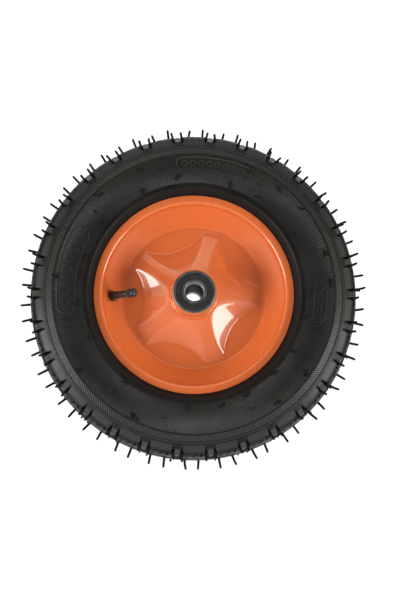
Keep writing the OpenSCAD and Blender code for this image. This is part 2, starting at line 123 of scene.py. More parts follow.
def rounded(corners, radii, steps=6):
    """A line through corners, each inner corner bent to its own radius."""
    corners = [np.array(c, float) for c in corners]
    out = [corners[0]]
    for i, r in enumerate(radii, 1):
        a = corners[i - 1] - corners[i]
        b = corners[i + 1] - corners[i]
        a, b = a / np.linalg.norm(a), b / np.linalg.norm(b)
        half = math.acos(np.clip(a @ b, -1, 1)) / 2
        centre = corners[i] + (a + b) / np.linalg.norm(a + b) * r / math.sin(half)
        start = corners[i] + a * r / math.tan(half) - centre
        end = corners[i] + b * r / math.tan(half) - centre
        sweep = math.pi - 2 * half
        for k in range(steps + 1):
            t = k / steps
            reach = math.sin(sweep * (1 - t)) * start + math.sin(sweep * t) * end
            out.append(centre + reach / math.sin(sweep))
    out.append(corners[-1])
    return np.array(out)


def normals_2d(line):
    """Unit normals to the left of an open line."""
    run = np.gradient(line, axis=0)
    run /= np.linalg.norm(run, axis=1)[:, None]
    return np.stack([-run[:, 1], run[:, 0]], axis=1)


def resampled(line, step):
    """The same line with points about one step apart."""
    line = np.array(line, float)
    along = np.concatenate([[0], np.cumsum(np.linalg.norm(np.diff(line, axis=0), axis=1))])
    places = np.linspace(0, along[-1], max(2, int(round(along[-1] / step)) + 1))
    return np.stack([np.interp(places, along, line[:, k]) for k in range(2)], axis=1)


def smooth_min(a, b, k):
    """The lower of two values, rounded over k where they meet."""
    h = np.clip(0.5 + 0.5 * (b - a) / k, 0, 1)
    return b + (a - b) * h - k * h * (1 - h)


def smooth_max(a, b, k):
    return -smooth_min(-a, -b, k)


def smooth_step(low, high, x):
    t = np.clip((x - low) / (high - low), 0, 1)
    return t * t * (3 - 2 * t)


def on_wheel(radius, depth, angle, side):
    """Vertices in metres of points on the wheel."""
    radius, depth, angle = np.broadcast_arrays(radius, depth, angle)
    return np.stack([radius * np.cos(angle), side * depth, radius * np.sin(angle)], axis=-1) * MM


def new_object(name, vertices, faces, sharp=35.0):
    """A smooth-shaded mesh object whose edges over the angle stay sharp."""
    mesh = bpy.data.meshes.new(name)
    mesh.from_pydata(np.asarray(vertices).tolist(), [], faces)
    bm = bmesh.new()
    bm.from_mesh(mesh)
    bmesh.ops.remove_doubles(bm, verts=bm.verts, dist=1e-6)
    bmesh.ops.dissolve_degenerate(bm, edges=bm.edges, dist=1e-7)
    bmesh.ops.recalc_face_normals(bm, faces=bm.faces)
    bm.to_mesh(mesh)
    bm.free()
    mesh.shade_smooth()
    mesh.set_sharp_from_angle(angle=math.radians(sharp))
    piece = bpy.data.objects.new(name, mesh)
    bpy.context.scene.collection.objects.link(piece)
    return piece


def grid_faces(rows, cols, wrap_rows=False, start=0):
    """Quads of a grid whose columns go all the way round."""
    r = np.arange(rows if wrap_rows else rows - 1)[:, None]
    c = np.arange(cols)[None, :]
    a, b = r * cols + c, r * cols + (c + 1) % cols
    d, e = (r + 1) % rows * cols + c, (r + 1) % rows * cols + (c + 1) % cols
    return (np.stack([a, b, e, d], axis=-1).reshape(-1, 4) + start).tolist()


def stitch_faces(fine, fine_cols, coarse, coarse_cols):
    """Faces between a fine row and a coarse one, each given by its first vertex and its columns."""
    k = fine_cols // coarse_cols
    return [
        [fine + (c * k + j) % fine_cols for j in range(k + 1)]
        + [coarse + (c + 1) % coarse_cols, coarse + c]
        for c in range(coarse_cols)
    ]


def turned(name, outline, origin=CENTRE, axis=AXLE, cols=96, sharp=35.0, shape=None):
    """A closed outline of (radius, place along the axis) turned about an axis through origin.

    shape(radius, along, angle) may move the points.
    """
    outline = np.array(outline, float)
    angle = np.arange(cols) / cols * FULL_TURN
    radius = np.repeat(outline[:, :1], cols, axis=1)
    along = np.repeat(outline[:, 1:], cols, axis=1)
    if shape:
        radius, along = shape(radius, along, angle[None, :])
    u = axis.orthogonal().normalized()
    v = axis.cross(u)
    points = (
        np.array(origin)
        + along[..., None] * np.array(axis)
        + radius[..., None] * (np.cos(angle)[:, None] * np.array(u) + np.sin(angle)[:, None] * np.array(v))
    )
    return new_object(name, points.reshape(-1, 3) * MM, grid_faces(len(outline), cols, True), sharp)


def stand_for(piece, material, body, slot, *nodes):
    """Gives a piece its material and body, and hides the CAD nodes that it stands for; the slot is not
    used.
    """
    piece.data.materials.clear()
    piece.data.materials.append(material)
    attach(piece, body)
    if nodes:
        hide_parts(*nodes)
    return piece


# ---------------------------------------------------------------------------
# Material tools
# ---------------------------------------------------------------------------


class Shader:
    """A Principled material and short ways to add nodes to it."""

    def __init__(self, name, **constants):
        self.material = bpy.data.materials.new(name)
        self.material.use_nodes = True
        self.tree = self.material.node_tree
        self.surface = self.tree.nodes["Principled BSDF"]
        for socket, value in constants.items():
            self.surface.inputs[socket.replace("_", " ")].default_value = value

    def node(self, kind, *values, out=0, **settings):
        """Adds a node, sets its inputs by order or name, and returns one output."""
        made = self.tree.nodes.new("ShaderNode" + kind)
        inputs = settings.pop("inputs", {})
        for setting, value in settings.items():
            setattr(made, setting, value)
        for key, value in [*enumerate(values), *inputs.items()]:
            if isinstance(value, bpy.types.NodeSocket):
                self.tree.links.new(value, made.inputs[key])
            else:
                made.inputs[key].default_value = value
        return made.outputs[out]

    def math(self, operation, *values):
        return self.node("Math", *values, operation=operation)

    def place(self):
        return self.node("TexCoord", out=3)

    def noise(self, scale, detail=3.0, roughness=0.55):
        inputs = {"Vector": self.place(), "Scale": scale, "Detail": detail, "Roughness": roughness}
        return self.node("TexNoise", inputs=inputs)

    def between(self, value, low, high, to_low=0.0, to_high=1.0):
        """Maps a value smoothly from one range to another."""
        return self.node("MapRange", value, low, high, to_low, to_high, interpolation_type="SMOOTHSTEP")

    def band(self, value, low, high, soft):
        """One inside a range, nothing outside it."""
        rise = self.between(value, low - soft, low + soft)
        fall = self.between(value, high - soft, high + soft, 1.0, 0.0)
        return self.math("MULTIPLY", rise, fall)

    def polar(self):
        """Radius, depth from the mid-plane and angle of the shaded point, in metres and radians."""
        place = self.place()
        x = self.node("SeparateXYZ", place, out=0)
        y = self.node("SeparateXYZ", place, out=1)
        z = self.node("SeparateXYZ", place, out=2)
        squares = self.math("ADD", self.math("MULTIPLY", x, x), self.math("MULTIPLY", z, z))
        return self.math("SQRT", squares), self.math("ABSOLUTE", y), self.math("ARCTAN2", z, x)

    def mix(self, amount, a, b):
        """A colour between two colours."""
        made = self.tree.nodes.new("ShaderNodeMix")
        made.data_type = "RGBA"
        for socket, value in ((made.inputs[0], amount), (made.inputs[6], a), (made.inputs[7], b)):
            if isinstance(value, bpy.types.NodeSocket):
                self.tree.links.new(value, socket)
            else:
                socket.default_value = (*value, 1.0) if isinstance(value, tuple) else value
        return made.outputs[2]

    def feed(self, socket, value):
        self.tree.links.new(value, self.surface.inputs[socket])

    def bump(self, height, distance, strength=1.0, below=None):
        """A bump of a real height in metres, on top of another one."""
        inputs = {"Height": height, "Distance": distance, "Strength": strength}
        if below:
            inputs["Normal"] = below
        return self.node("Bump", inputs=inputs)


# ---------------------------------------------------------------------------
# Materials
# ---------------------------------------------------------------------------


# Zones of the tyre's shader, from and to in metres
WEAVE_RADII = (0.1215, 0.1535)
POST_DEPTHS = (0.020, 0.031)
FACET_RADII = (0.1650, 0.1722)
FACET_DEPTHS = (0.020, 0.040)
RIDGE_RADII = (0.1618, 0.1632)


def tyre_rubber():
    """Moulded rubber: fine slanted cords on the sidewall, whose crests get a painted highlight, and posts,
    facets and ridge on the shoulder painted paler as a painted highlight.

    The rest is plain, with a greyer bloom in places.
    """
    s = Shader("tyre_rubber", Specular_IOR_Level=0.21)
    radius, depth, angle = s.polar()
    side = s.math("MULTIPLY", s.band(radius, *WEAVE_RADII, 0.001), s.between(depth, 0.030, 0.034))
    slant = s.math("MULTIPLY", radius, FULL_TURN / CORD_SLANT)
    threads = s.math("SINE", s.math("ADD", s.math("MULTIPLY", angle, float(CORD_THREADS)), slant))
    weave = s.math("MULTIPLY", threads, side)
    # Painted highlight: the crests of the cord threads are painted lighter than the rubber between them.
    cord_highlight = s.math("MAXIMUM", weave, 0.0)
    pitch = s.math("SINE", s.math("ADD", s.math("MULTIPLY", angle, float(PITCHES)), math.pi / 2))
    post = s.math("MULTIPLY", s.between(pitch, 0.70, 0.80), s.band(depth, *POST_DEPTHS, 0.001))
    post = s.math("MULTIPLY", post, s.between(radius, 0.160, 0.166))
    facet = s.math("MULTIPLY", s.between(pitch, 0.52, 0.44), s.band(radius, *FACET_RADII, 0.0007))
    facet = s.math("MULTIPLY", facet, s.band(depth, *FACET_DEPTHS, 0.001))
    ridge = s.math("MULTIPLY", s.band(radius, *RIDGE_RADII, 0.0004), s.between(depth, 0.033, 0.034))
    # Painted highlight: the posts, the shoulder facets and the ridge are painted paler, standing for light
    # caught on them.
    pale = s.math("MAXIMUM", post, s.math("MULTIPLY", s.math("MAXIMUM", facet, ridge), 0.55))
    grain = s.noise(2200.0, 4.0, 0.6)
    bloom = s.noise(26.0, 4.0, 0.6)
    fine = s.bump(grain, 0.00006, 0.5)
    s.feed("Normal", s.bump(weave, 0.00022, 1.0, fine))
    amount = s.between(bloom, 0.38, 0.7)
    # The greyer bloom is the rubber's own tone; the cord term adds the painted highlight.
    bloom_and_cord_highlight = s.math("ADD", s.math("MULTIPLY", amount, 0.5), s.math("MULTIPLY", cord_highlight, 0.9))
    plain = s.mix(bloom_and_cord_highlight, (0.0024, 0.0024, 0.0026), (0.0086, 0.0086, 0.0088))
    s.feed("Base Color", s.mix(pale, plain, (0.036, 0.036, 0.038)))
    near_rim = s.math("MULTIPLY", s.between(radius, 0.120, 0.110), 0.35)
    s.feed("Roughness", s.math("ADD", s.between(bloom, 0.3, 0.75, 0.36, 0.5), near_rim))
    return s.material


def hair_rubber():
    s = Shader("hair_rubber", Roughness=0.6, Specular_IOR_Level=0.12)
    s.feed("Base Color", s.mix(s.noise(240.0), (0.003, 0.003, 0.003), (0.007, 0.007, 0.007)))
    return s.material


def smooth_rubber(name, dark, light, roughness):
    s = Shader(name, Specular_IOR_Level=0.5)
    mottle = s.noise(180.0, 4.0)
    s.feed("Base Color", s.mix(mottle, dark, light))
    s.feed("Roughness", s.between(mottle, 0.3, 0.7, roughness - 0.06, roughness + 0.08))
    s.feed("Normal", s.bump(s.noise(1500.0), 0.00004, 0.5))
    return s.material


def orange_paint():
    """Glossy powder coat: a fine orange peel under a clear gloss, with slight unevenness and specks."""
    gloss = {"Coat_Weight": 0.85, "Coat_Roughness": 0.02, "Coat_IOR": 1.5, "Specular_IOR_Level": 0.4}
    s = Shader("orange_paint", **gloss)
    uneven = s.noise(14.0, 3.0)
    speck = s.between(s.noise(900.0, 1.0, 0.4), 0.73, 0.76)
    base = s.mix(uneven, (0.55, 0.112, 0.024), (0.62, 0.132, 0.030))
    s.feed("Base Color", s.mix(s.math("MULTIPLY", speck, 0.35), base, (0.30, 0.045, 0.015)))
    s.feed("Roughness", s.between(uneven, 0.3, 0.7, 0.30, 0.40))
    peel = s.bump(s.noise(260.0, 2.0, 0.5), 0.00005, 0.35)
    s.feed("Normal", peel)
    return s.material


# The turned rings' wave, in radians per metre
TURNING_RATE = 18000.0


def turned_steel(name, dark, light, roughness):
    """Ground steel with fine rings from turning and a trace of oil."""
    s = Shader(name, Metallic=1.0, Anisotropic=0.35)
    radius, depth, _ = s.polar()
    rings = s.math("SINE", s.math("MULTIPLY", s.math("ADD", radius, depth), TURNING_RATE))
    film = s.noise(90.0, 4.0)
    s.feed("Base Color", s.mix(film, dark, light))
    s.feed("Roughness", s.between(film, 0.3, 0.72, roughness, roughness + 0.16))
    s.feed("Normal", s.bump(rings, 0.000012, 0.35))
    return s.material


def bright_steel(name, colour, roughness):
    s = Shader(name, Metallic=1.0)
    film = s.noise(300.0, 3.0)
    dim = tuple(c * 0.7 for c in colour)
    s.feed("Base Color", s.mix(film, dim, colour))
    s.feed("Roughness", s.between(film, 0.3, 0.7, roughness, roughness + 0.12))
    return s.material


def brass():
    s = Shader("brass", Metallic=1.0)
    tarnish = s.noise(420.0, 4.0)
    s.feed("Base Color", s.mix(s.between(tarnish, 0.35, 0.7), (0.68, 0.46, 0.17), (0.42, 0.27, 0.10)))
    s.feed("Roughness", s.between(tarnish, 0.3, 0.7, 0.22, 0.4))
    s.feed("Normal", s.bump(s.noise(3000.0), 0.00002, 0.4))
    return s.material


def cap_plastic():
    s = Shader("cap_plastic", Specular_IOR_Level=0.5)
    grain = s.noise(1400.0, 2.0)
    s.feed("Base Color", s.mix(grain, (0.005, 0.005, 0.0055), (0.011, 0.011, 0.0115)))
    s.feed("Roughness", s.between(grain, 0.3, 0.7, 0.34, 0.48))
    s.feed("Normal", s.bump(grain, 0.00003, 0.4))
    return s.material


# ---------------------------------------------------------------------------
# Tyre
# ---------------------------------------------------------------------------

CROWN_CURVE = 95.0
CROWN_HALF = 24.0
RIDGE = np.array([TYRE_R - 17.0, 34.5])
BAND_FOOT = np.array([RIDGE[0] - 9.0, 38.6])
WIDEST = np.array([(101 + TYRE_R) / 2 - 3, SIDE_DEPTH])
BEAD_LINE = np.array([FLANGE_R + 7.0, 38.1])
LIP_GAP = 0.8
FLANGE_DEPTH = 27.5
SHEET = 1.5
SEAT_R = 101.0
TOE_DEPTH = 12.4
ROOF_R = TYRE_R - 9
CAVITY_DEPTH = SIDE_DEPTH - 4
CORD_THREADS = 400
CORD_SLANT = 0.030
SERRATIONS = 400
SERRATION_LEAN = 0.03
SERRATION_H = 0.6

ZIGZAG_DEPTH_PLACE = 13.0
ZIGZAG_SWING = 2.0
ZIGZAG_HALF_W = 1.6
GROOVE = 4.0
LATERAL_GROOVE = GROOVE * 1.25
LATERAL_HALF_W = 1.15
RIB_PAIR = 8.4
POST_SINK = 1.5
SIPE_CUT = 2.2
# Sipes of each pitch: place round the wheel from the pitch's edge, depth, tilt and half length
SIPES = [(0.0, 24.5, 0.7, 4.0), (7.5, 22.0, -0.5, 2.4), (-8.0, 26.0, 0.25, 2.6)]
CROWN_SIPE_CUT = 1.6


def crown(depth):
    """Radius of the uncut crown at a depth."""
    return TYRE_R - CROWN_CURVE + np.sqrt(CROWN_CURVE**2 - depth**2)


def half_tread():
    """Outline from the middle of the crown to the shoulder ridge."""
    flat = np.linspace(0, CROWN_HALF, 20)
    edge = crown(CROWN_HALF)
    falls = (edge - 1.6, CROWN_HALF + 5), (RIDGE[0] + 6, RIDGE[1] - 2.5)
    shoulder = bezier((edge, CROWN_HALF), *falls, RIDGE, 14)
    return resampled(np.concatenate([np.stack([crown(flat), flat], axis=1), shoulder]), 0.9)


def half_sidewall():
    """Outline from the shoulder ridge to the flange: ridge, band, ridge, belly, bead ridge, bead band."""
    first = [RIDGE + off for off in ((0, 0), (-0.2, 0.5), (-0.6, 0.85), (-1.1, 0.8), (-1.5, 0.45))]
    band = bezier(first[-1], RIDGE + (-3.5, 1.4), BAND_FOOT + (2.5, -1.2), BAND_FOOT, 6)
    second = [BAND_FOOT + off for off in ((-0.1, 0.35), (-0.45, 0.6), (-0.9, 0.62), (-1.25, 0.4))]
    upper = bezier(second[-1], BAND_FOOT + (-6, 1.9), WIDEST + (6, 0), WIDEST, 16)
    lower = bezier(WIDEST, WIDEST - (9, 0), BEAD_LINE + (5.5, 1.6), BEAD_LINE + (1.6, 0.55), 14)
    bead = [BEAD_LINE + off for off in ((0.9, 0.75), (0.3, 0.8), (-0.2, 0.5), (-0.6, -0.3))]
    lip = (FLANGE_R + LIP_GAP, FLANGE_DEPTH + SHEET)
    flank = bezier(bead[-1], BEAD_LINE + (-2.6, -1.4), (lip[0] + 2.4, lip[1] + 3.4), lip, 8)
    return np.concatenate([first, band, second, upper, lower, bead, flank])


def bead_and_cavity():
    """Outline from the flange's edge over the bead to the middle of the cavity."""
    seat, wall = SEAT_R + 0.1, FLANGE_DEPTH - 0.1
    heel = rounded([(FLANGE_R + LIP_GAP, wall), (seat, wall), (seat, TOE_DEPTH)], [5], 5)
    rise = (SEAT_R + 8, TOE_DEPTH), (111.5, 37)
    toe = bezier((SEAT_R + 1.6, TOE_DEPTH), *rise, (WIDEST[0], CAVITY_DEPTH), 7)
    roof = bezier(toe[-1], (150, CAVITY_DEPTH), (ROOF_R, 28.5), (ROOF_R, 0), 9)
    return np.concatenate([heel, toe, roof])


def zigzag_line(u):
    """Depth of the zigzag groove at a place u, from -0.5 to 0.5 across a pitch."""
    swing = np.sqrt((2 * np.abs(u)) ** 2 + 0.01)
    return ZIGZAG_DEPTH_PLACE - ZIGZAG_SWING + 2 * ZIGZAG_SWING * swing


def tread_cut(depth, angle):
    """How far the tread is cut in at a depth and an angle: grooves, sunk posts and sipes."""
    u = (angle / PITCH + 0.5) % 1.0 - 0.5
    across = u * PITCH * TYRE_R
    zig = zigzag_line(u)
    off = np.abs(depth - zig) / math.hypot(1, 4 * ZIGZAG_SWING / (PITCH * TYRE_R))
    zigzag = GROOVE * (1 - smooth_step(ZIGZAG_HALF_W - 0.7, ZIGZAG_HALF_W + 0.45, off))
    past_zig = depth - ZIGZAG_DEPTH_PLACE
    centre = RIB_PAIR / 2 - 0.5 + 0.055 * past_zig + 0.35 * np.sin(past_zig * 0.5)
    beside = np.abs(np.abs(across) - centre)
    reach = smooth_step(zig - 0.5, zig + 1.0, depth) * (1 - smooth_step(29.0, 33.5, depth))
    wall = 1 - smooth_step(LATERAL_HALF_W - 0.65, LATERAL_HALF_W + 0.5, beside)
    lateral = LATERAL_GROOVE * wall * reach
    sunk = POST_SINK * (1 - smooth_step(centre - 0.9, centre - 0.2, np.abs(across)))
    post = sunk * smooth_step(14.5, 17.5, depth) * (1 - smooth_step(28.0, 32.0, depth))
    cuts = [zigzag, lateral, post]
    from_edge = (0.5 - np.abs(u)) * PITCH * TYRE_R * np.sign(u)
    for place, middle, tilt, half in SIPES:
        along = (from_edge - place) * math.sin(tilt) - (depth - middle) * math.cos(tilt)
        aside = (from_edge - place) * math.cos(tilt) + (depth - middle) * math.sin(tilt)
        end = 1 - smooth_step(half - 0.8, half, np.abs(along))
        cuts.append(SIPE_CUT * (1 - smooth_step(0.35, 1.0, np.abs(aside))) * end)
    aside = np.abs(from_edge + depth * 0.5)
    end = 1 - smooth_step(3.5, 5.0, depth)
    cuts.append(CROWN_SIPE_CUT * (1 - smooth_step(0.35, 1.0, aside)) * end)
    return np.maximum.reduce(cuts)


def make_tyre():
    """One closed mesh: fine columns on the tread, fewer on the sidewalls, fewer still inside."""
    fine, middle, coarse = PITCHES * 48, PITCHES * 16, PITCHES * 8
    half = half_tread()
    tread = np.concatenate([half[:0:-1] * (1, -1), half])
    normal = -normals_2d(tread)
    angle = (np.arange(fine) / fine * FULL_TURN)[None, :]
    cut = tread_cut(np.abs(tread[:, 1:]), angle)
    radius = tread[:, :1] - cut * normal[:, :1]
    depth = tread[:, 1:] - cut * normal[:, 1:]
    blocks = [on_wheel(radius, depth, angle, REAR)]
    counts = [fine]
    side = half_sidewall()[1:]
    inner = bead_and_cavity()
    for line, cols in ((side, middle), (inner, coarse)):
        turn = (np.arange(cols) / cols * FULL_TURN)[None, :]
        for sign in (1, -1):
            blocks.append(on_wheel(line[:, :1], line[:, 1:] * sign, turn, REAR))
            counts.append(cols)
    starts = np.cumsum([0] + [b.shape[0] * b.shape[1] for b in blocks])
    faces = []
    for block, cols, start in zip(blocks, counts, starts):
        faces += grid_faces(block.shape[0], cols, False, int(start))
    last = [int(s) + (b.shape[0] - 1) * c for b, c, s in zip(blocks, counts, starts)]
    first = [int(s) for s in starts[:-1]]
    faces += stitch_faces(last[0], fine, first[1], middle)
    faces += stitch_faces(first[0], fine, first[2], middle)
    faces += stitch_faces(last[1], middle, first[3], coarse)
    faces += stitch_faces(last[2], middle, first[4], coarse)
    vertices = np.concatenate([b.reshape(-1, 3) for b in blocks])
    piece = new_object("tyre_rubber_body", vertices, faces, 50.0)
    return stand_for(piece, TYRE_RUBBER, "wheel", "tyre", "tyre")


def side_depth(radius):
    """Depth of the sidewall's surface at a radius."""
    line = half_sidewall()
    order = np.argsort(line[:, 0])
    return np.interp(radius, line[order, 0], line[order, 1])


def make_serrations(side):
    """The ring of fine slanted ribs under the shoulder ridge."""
    top, foot = RIDGE[0] - 2.0, BAND_FOOT[0] + 0.6
    vertices, faces = [], []
    along = np.linspace(0, 1, 4)
    for i in range(SERRATIONS):
        middle = (i + 0.5) / SERRATIONS * FULL_TURN
        half = 0.33 * FULL_TURN / SERRATIONS
        start = i * 16
        radius = foot + (top - foot) * along
        turn = middle + SERRATION_LEAN * (along - 0.5)
        base = side_depth(radius)
        rows = [
            on_wheel(radius, base - 0.3, turn - half, side),
            on_wheel(radius, base + SERRATION_H, turn - half * 0.3, side),
            on_wheel(radius, base + SERRATION_H, turn + half * 0.3, side),
            on_wheel(radius, base - 0.3, turn + half, side),
        ]
        vertices.append(np.stack(rows, axis=1).reshape(-1, 3))
        for r in range(3):
            for c in range(4):
                a, b = start + r * 4 + c, start + r * 4 + (c + 1) % 4
                faces.append([a, b, b + 4, a + 4])
        faces.append([start + c for c in (3, 2, 1, 0)])
        faces.append([start + 12 + c for c in range(4)])
    piece = new_object(side_name(side, "sidewall_serrations"), np.concatenate(vertices), faces, 30.0)
    # The ribs take the lighter rubber that paints a highlight on them.
    return stand_for(piece, RIB_RUBBER_PAINTED_HIGHLIGHT, "wheel", "tyre")


def ribbon_on_side(points, width, height, side):
    """A thin raised ring along (radius, angle) points on the sidewall: vertices and faces."""
    points = np.array(points)
    flat = np.stack([points[:, 0] * np.cos(points[:, 1]), points[:, 0] * np.sin(points[:, 1])], axis=1)
    run = np.roll(flat, -1, axis=0) - np.roll(flat, 1, axis=0)
    run /= np.linalg.norm(run, axis=1)[:, None]
    across = np.stack([-run[:, 1], run[:, 0]], axis=1)
    rows = []
    for off, lift in ((-0.5, -0.4), (-0.3, height), (0.3, height), (0.5, -0.4)):
        place = flat + across * off * width
        radius = np.hypot(place[:, 0], place[:, 1])
        depth = side_depth(radius) + lift
        rows.append(np.stack([place[:, 0], side * depth, place[:, 1]], axis=1) * MM)
    return np.concatenate(rows), grid_faces(4, len(points), True)


def stadium(inner, outer, start, end, steps=10):
    """Outline of a plate between two radii and two angles, with round ends."""
    middle, half = (inner + outer) / 2, (outer - inner) / 2
    cap = half / middle
    arc = np.linspace(start + cap, end - cap, 24)
    turn = np.linspace(0, math.pi, steps)[1:-1]
    right = [(middle + half * math.cos(t), end - cap + cap * math.sin(t)) for t in turn]
    left = [(middle - half * math.cos(t), start + cap - cap * math.sin(t)) for t in turn]
    return [(outer, a) for a in arc] + right + [(inner, a) for a in arc[::-1]] + left


# Plates: inner and outer radius, start and end in degrees
PLATES = [(136, 150, 65, 98), (129, 149, 149, 190), (130.5, 143.5, 346, 364.5)]
VENTS = [2.3, 58.5, 102.5, 141.0, 194.5, 229.7, 256.7, 295.9, 340.5]
VENT_RADIUS = 139.5
VENT_RING_R = 1.7
# Width and height of the raised lines
PLATE_LINE = (1.4, 0.7)
LOZENGE_LINE = (1.1, 0.5)
VENT_LINE = (1.3, 0.8)


def make_side_marks(side):
    """Blank label plates with a row of plain lozenges, and small round vent marks."""
    vertices, faces, count = [], [], 0

    def add(part):
        nonlocal count
        vertices.append(part[0])
        faces.extend([[i + count for i in f] for f in part[1]])
        count += len(part[0])

    for inner, outer, start, end in PLATES:
        start, end = math.radians(start), math.radians(end)
        add(ribbon_on_side(stadium(inner, outer, start, end), *PLATE_LINE, side))
        middle = (inner + outer) / 2
        size = (outer - inner) * 0.26
        number = int((end - start) * middle / (size * 2.6))
        for i in range(number):
            at = start + (end - start) * (i + 1) / (number + 1)
            turn = size / middle
            lozenge = [(middle + size, at), (middle, at + turn), (middle - size, at), (middle, at - turn)]
            corners = []
            for a, b in zip(lozenge, lozenge[1:] + lozenge[:1]):
                corners += [a, ((a[0] + b[0]) / 2, (a[1] + b[1]) / 2)]
            add(ribbon_on_side(corners, *LOZENGE_LINE, side))
    turns = np.arange(20) / 20 * FULL_TURN
    for place in VENTS:
        at, turn = math.radians(place), VENT_RING_R / VENT_RADIUS
        ring = [(VENT_RADIUS + VENT_RING_R * math.cos(t), at + turn * math.sin(t)) for t in turns]
        add(ribbon_on_side(ring, *VENT_LINE, side))
    piece = new_object(side_name(side, "sidewall_marks"), np.concatenate(vertices), faces, 40.0)
    return stand_for(piece, MARK_RUBBER, "wheel", "tyre")


# ---------------------------------------------------------------------------
# Vent hairs
# ---------------------------------------------------------------------------

HAIR_R = 1.4
HAIR_SIDES = 8
HAIR_RINGS = 8
HAIR_ROOT = 1.0
CROWN_HAIR_L = 13.2
SHOULDER_HAIR_L = (9.0, 11.0)


class Hairs:
    """Collects bent, tapered hairs and turns them into one piece."""

    def __init__(self, seed):
        self.dice = random.Random(seed)
        self.vertices = []
        self.faces = []

    def add(self, root, out, aside, length, bend):
        """A hair from root along out, bending towards aside by an angle other than nought."""
        out, aside = Vector(out).normalized(), Vector(aside)
        aside = (aside - out * aside.dot(out)).normalized()
        across = out.cross(aside)
        start = len(self.vertices)
        for k in range(HAIR_RINGS + 1):
            t = k / HAIR_RINGS
            turn = bend * t
            reach, drift = math.sin(turn) / bend, (1 - math.cos(turn)) / bend
            centre = root + (out * (reach * length - HAIR_ROOT) + aside * drift * length)
            ahead = out * math.cos(turn) + aside * math.sin(turn)
            beside = aside * math.cos(turn) - out * math.sin(turn)
            thick = HAIR_R * (1 + 0.3 * math.exp(-t * 9) - 0.06 * t)
            if k == HAIR_RINGS:
                thick *= 0.7
            for j in range(HAIR_SIDES):
                a = j / HAIR_SIDES * FULL_TURN
                point = centre + (beside * math.cos(a) + across * math.sin(a)) * thick
                self.vertices.append(point * MM)
        self.faces += grid_faces(HAIR_RINGS + 1, HAIR_SIDES, False, start)
        self.faces.append([start + j for j in range(HAIR_SIDES)][::-1])
        end = start + HAIR_RINGS * HAIR_SIDES
        self.faces.append([end + j for j in range(HAIR_SIDES)])

    def piece(self, name, node):
        made = new_object(name, np.array(self.vertices), self.faces, 60.0)
        return stand_for(made, HAIR_RUBBER, "wheel", "vent_rubber", node)


def spoke(angle):
    """The way out from the axle at an angle."""
    return Vector((math.cos(angle), 0, math.sin(angle)))


def rim_way(angle):
    """The way round the wheel at an angle."""
    return Vector((-math.sin(angle), 0, math.cos(angle)))


def crown_length(dice, angle):
    """Length of a crown hair, root included: a little more towards the top of the wheel."""
    return CROWN_HAIR_L + 0.6 * math.sin(angle) + dice.uniform(-1.8, 0.2)


def make_crown_hairs():
    hairs = Hairs(11)
    dice = hairs.dice
    for i in range(PITCHES):
        for place, depth in ((0.24, -3.0), (-0.35, 3.0)):
            angle = (i + place) * PITCH
            radius = crown(abs(depth))
            root = spoke(angle) * radius + Vector((0, depth, 0))
            lean = Vector((0, dice.uniform(-0.2, 0.2), 0)) + rim_way(angle) * dice.uniform(-0.2, 0.2)
            out = spoke(angle) + lean * 0.4
            length = min(crown_length(dice, angle), HAIR_TIP_R - radius + 0.9)
            bend = dice.choice((0.04, 0.08, 0.12, 0.3))
            hairs.add(root, out, lean + rim_way(angle) * 0.01, length, bend)
    return hairs.piece("crown_hairs", "crown_vent_hairs")


def make_shoulder_hairs(side):
    hairs = Hairs(23 + side)
    dice = hairs.dice
    depth = ZIGZAG_DEPTH_PLACE + 0.62 * (RIDGE[1] - ZIGZAG_DEPTH_PLACE)
    for i in range(PITCHES):
        for edge in (-1, 1):
            angle = i * PITCH + edge * (RIB_PAIR / 2 + 0.9) / TYRE_R
            radius = crown(CROWN_HALF) - 3.6
            root = spoke(angle) * radius + Vector((0, side * depth, 0))
            lean = rim_way(angle) * dice.uniform(-0.16, 0.16)
            out = spoke(angle) + Vector((0, side * 0.6, 0)) + lean
            aside = lean + Vector((0, side * dice.uniform(-0.2, 0.3), 0)) + rim_way(angle) * 0.01
            hairs.add(root, out, aside, dice.uniform(*SHOULDER_HAIR_L), dice.uniform(0.05, 0.3))
    name = side_name(side, "shoulder")
    return hairs.piece(name + "_hairs", name + "_vent_hairs")


# Places of the sidewall's hairs, in degrees
BEAD_HAIRS = [28.5, 57, 71, 99, 117, 144.4, 160.9, 172.5, 184.9]
BEAD_HAIRS += [202.5, 234, 266, 284, 297.7, 313.5, 329, 346.5, 359]
BELLY_HAIRS = [3, 16, 39, 50, 65.5, 113, 133, 174, 215, 243, 306, 325]
# Each row's places, radius and range of lengths
SIDEWALL_ROWS = [(BEAD_HAIRS, 124.0, (5.5, 8.5)), (BELLY_HAIRS, 148.0, (7.0, 10.0))]


def make_sidewall_hairs(side):
    """Bent hairs beside the bead, and longer ones on the belly."""
    hairs = Hairs(37 + side)
    dice = hairs.dice
    for places, radius, lengths in SIDEWALL_ROWS:
        for place in places:
            angle = math.radians(place)
            at = radius + dice.uniform(-2.5, 2.5)
            root = spoke(angle) * at + Vector((0, side * float(side_depth(at)), 0))
            swing = dice.uniform(-1.0, 1.0)
            aside = spoke(angle) * dice.uniform(0.2, 1.0) + rim_way(angle) * swing * 2
            out = Vector((0, side, 0)) * 0.55 + aside.normalized() * 0.85
            length = dice.uniform(*lengths)
            hairs.add(root, out, aside + Vector((0, -side * 0.4, 0)), length, dice.uniform(0.3, 0.8))
    name = side_name(side, "sidewall")
    return hairs.piece(name + "_hairs", name + "_vent_hairs")


# ---------------------------------------------------------------------------
# Rim
# ---------------------------------------------------------------------------

RIBS = 5
RIB_TURN = math.radians(1)
RIB_FOOT_R = 74.8
SCALLOP_R = 55.0
SCALLOP_REACH = 54.5
SCALLOP_LEAN = 1.55
CREASE = 1.4
JOINT_R = 79.5
SEAT_END = 20.0
RIM_COLS = 600
VALVE_HOLE_D = 11.5
WELD_POOLS = 34


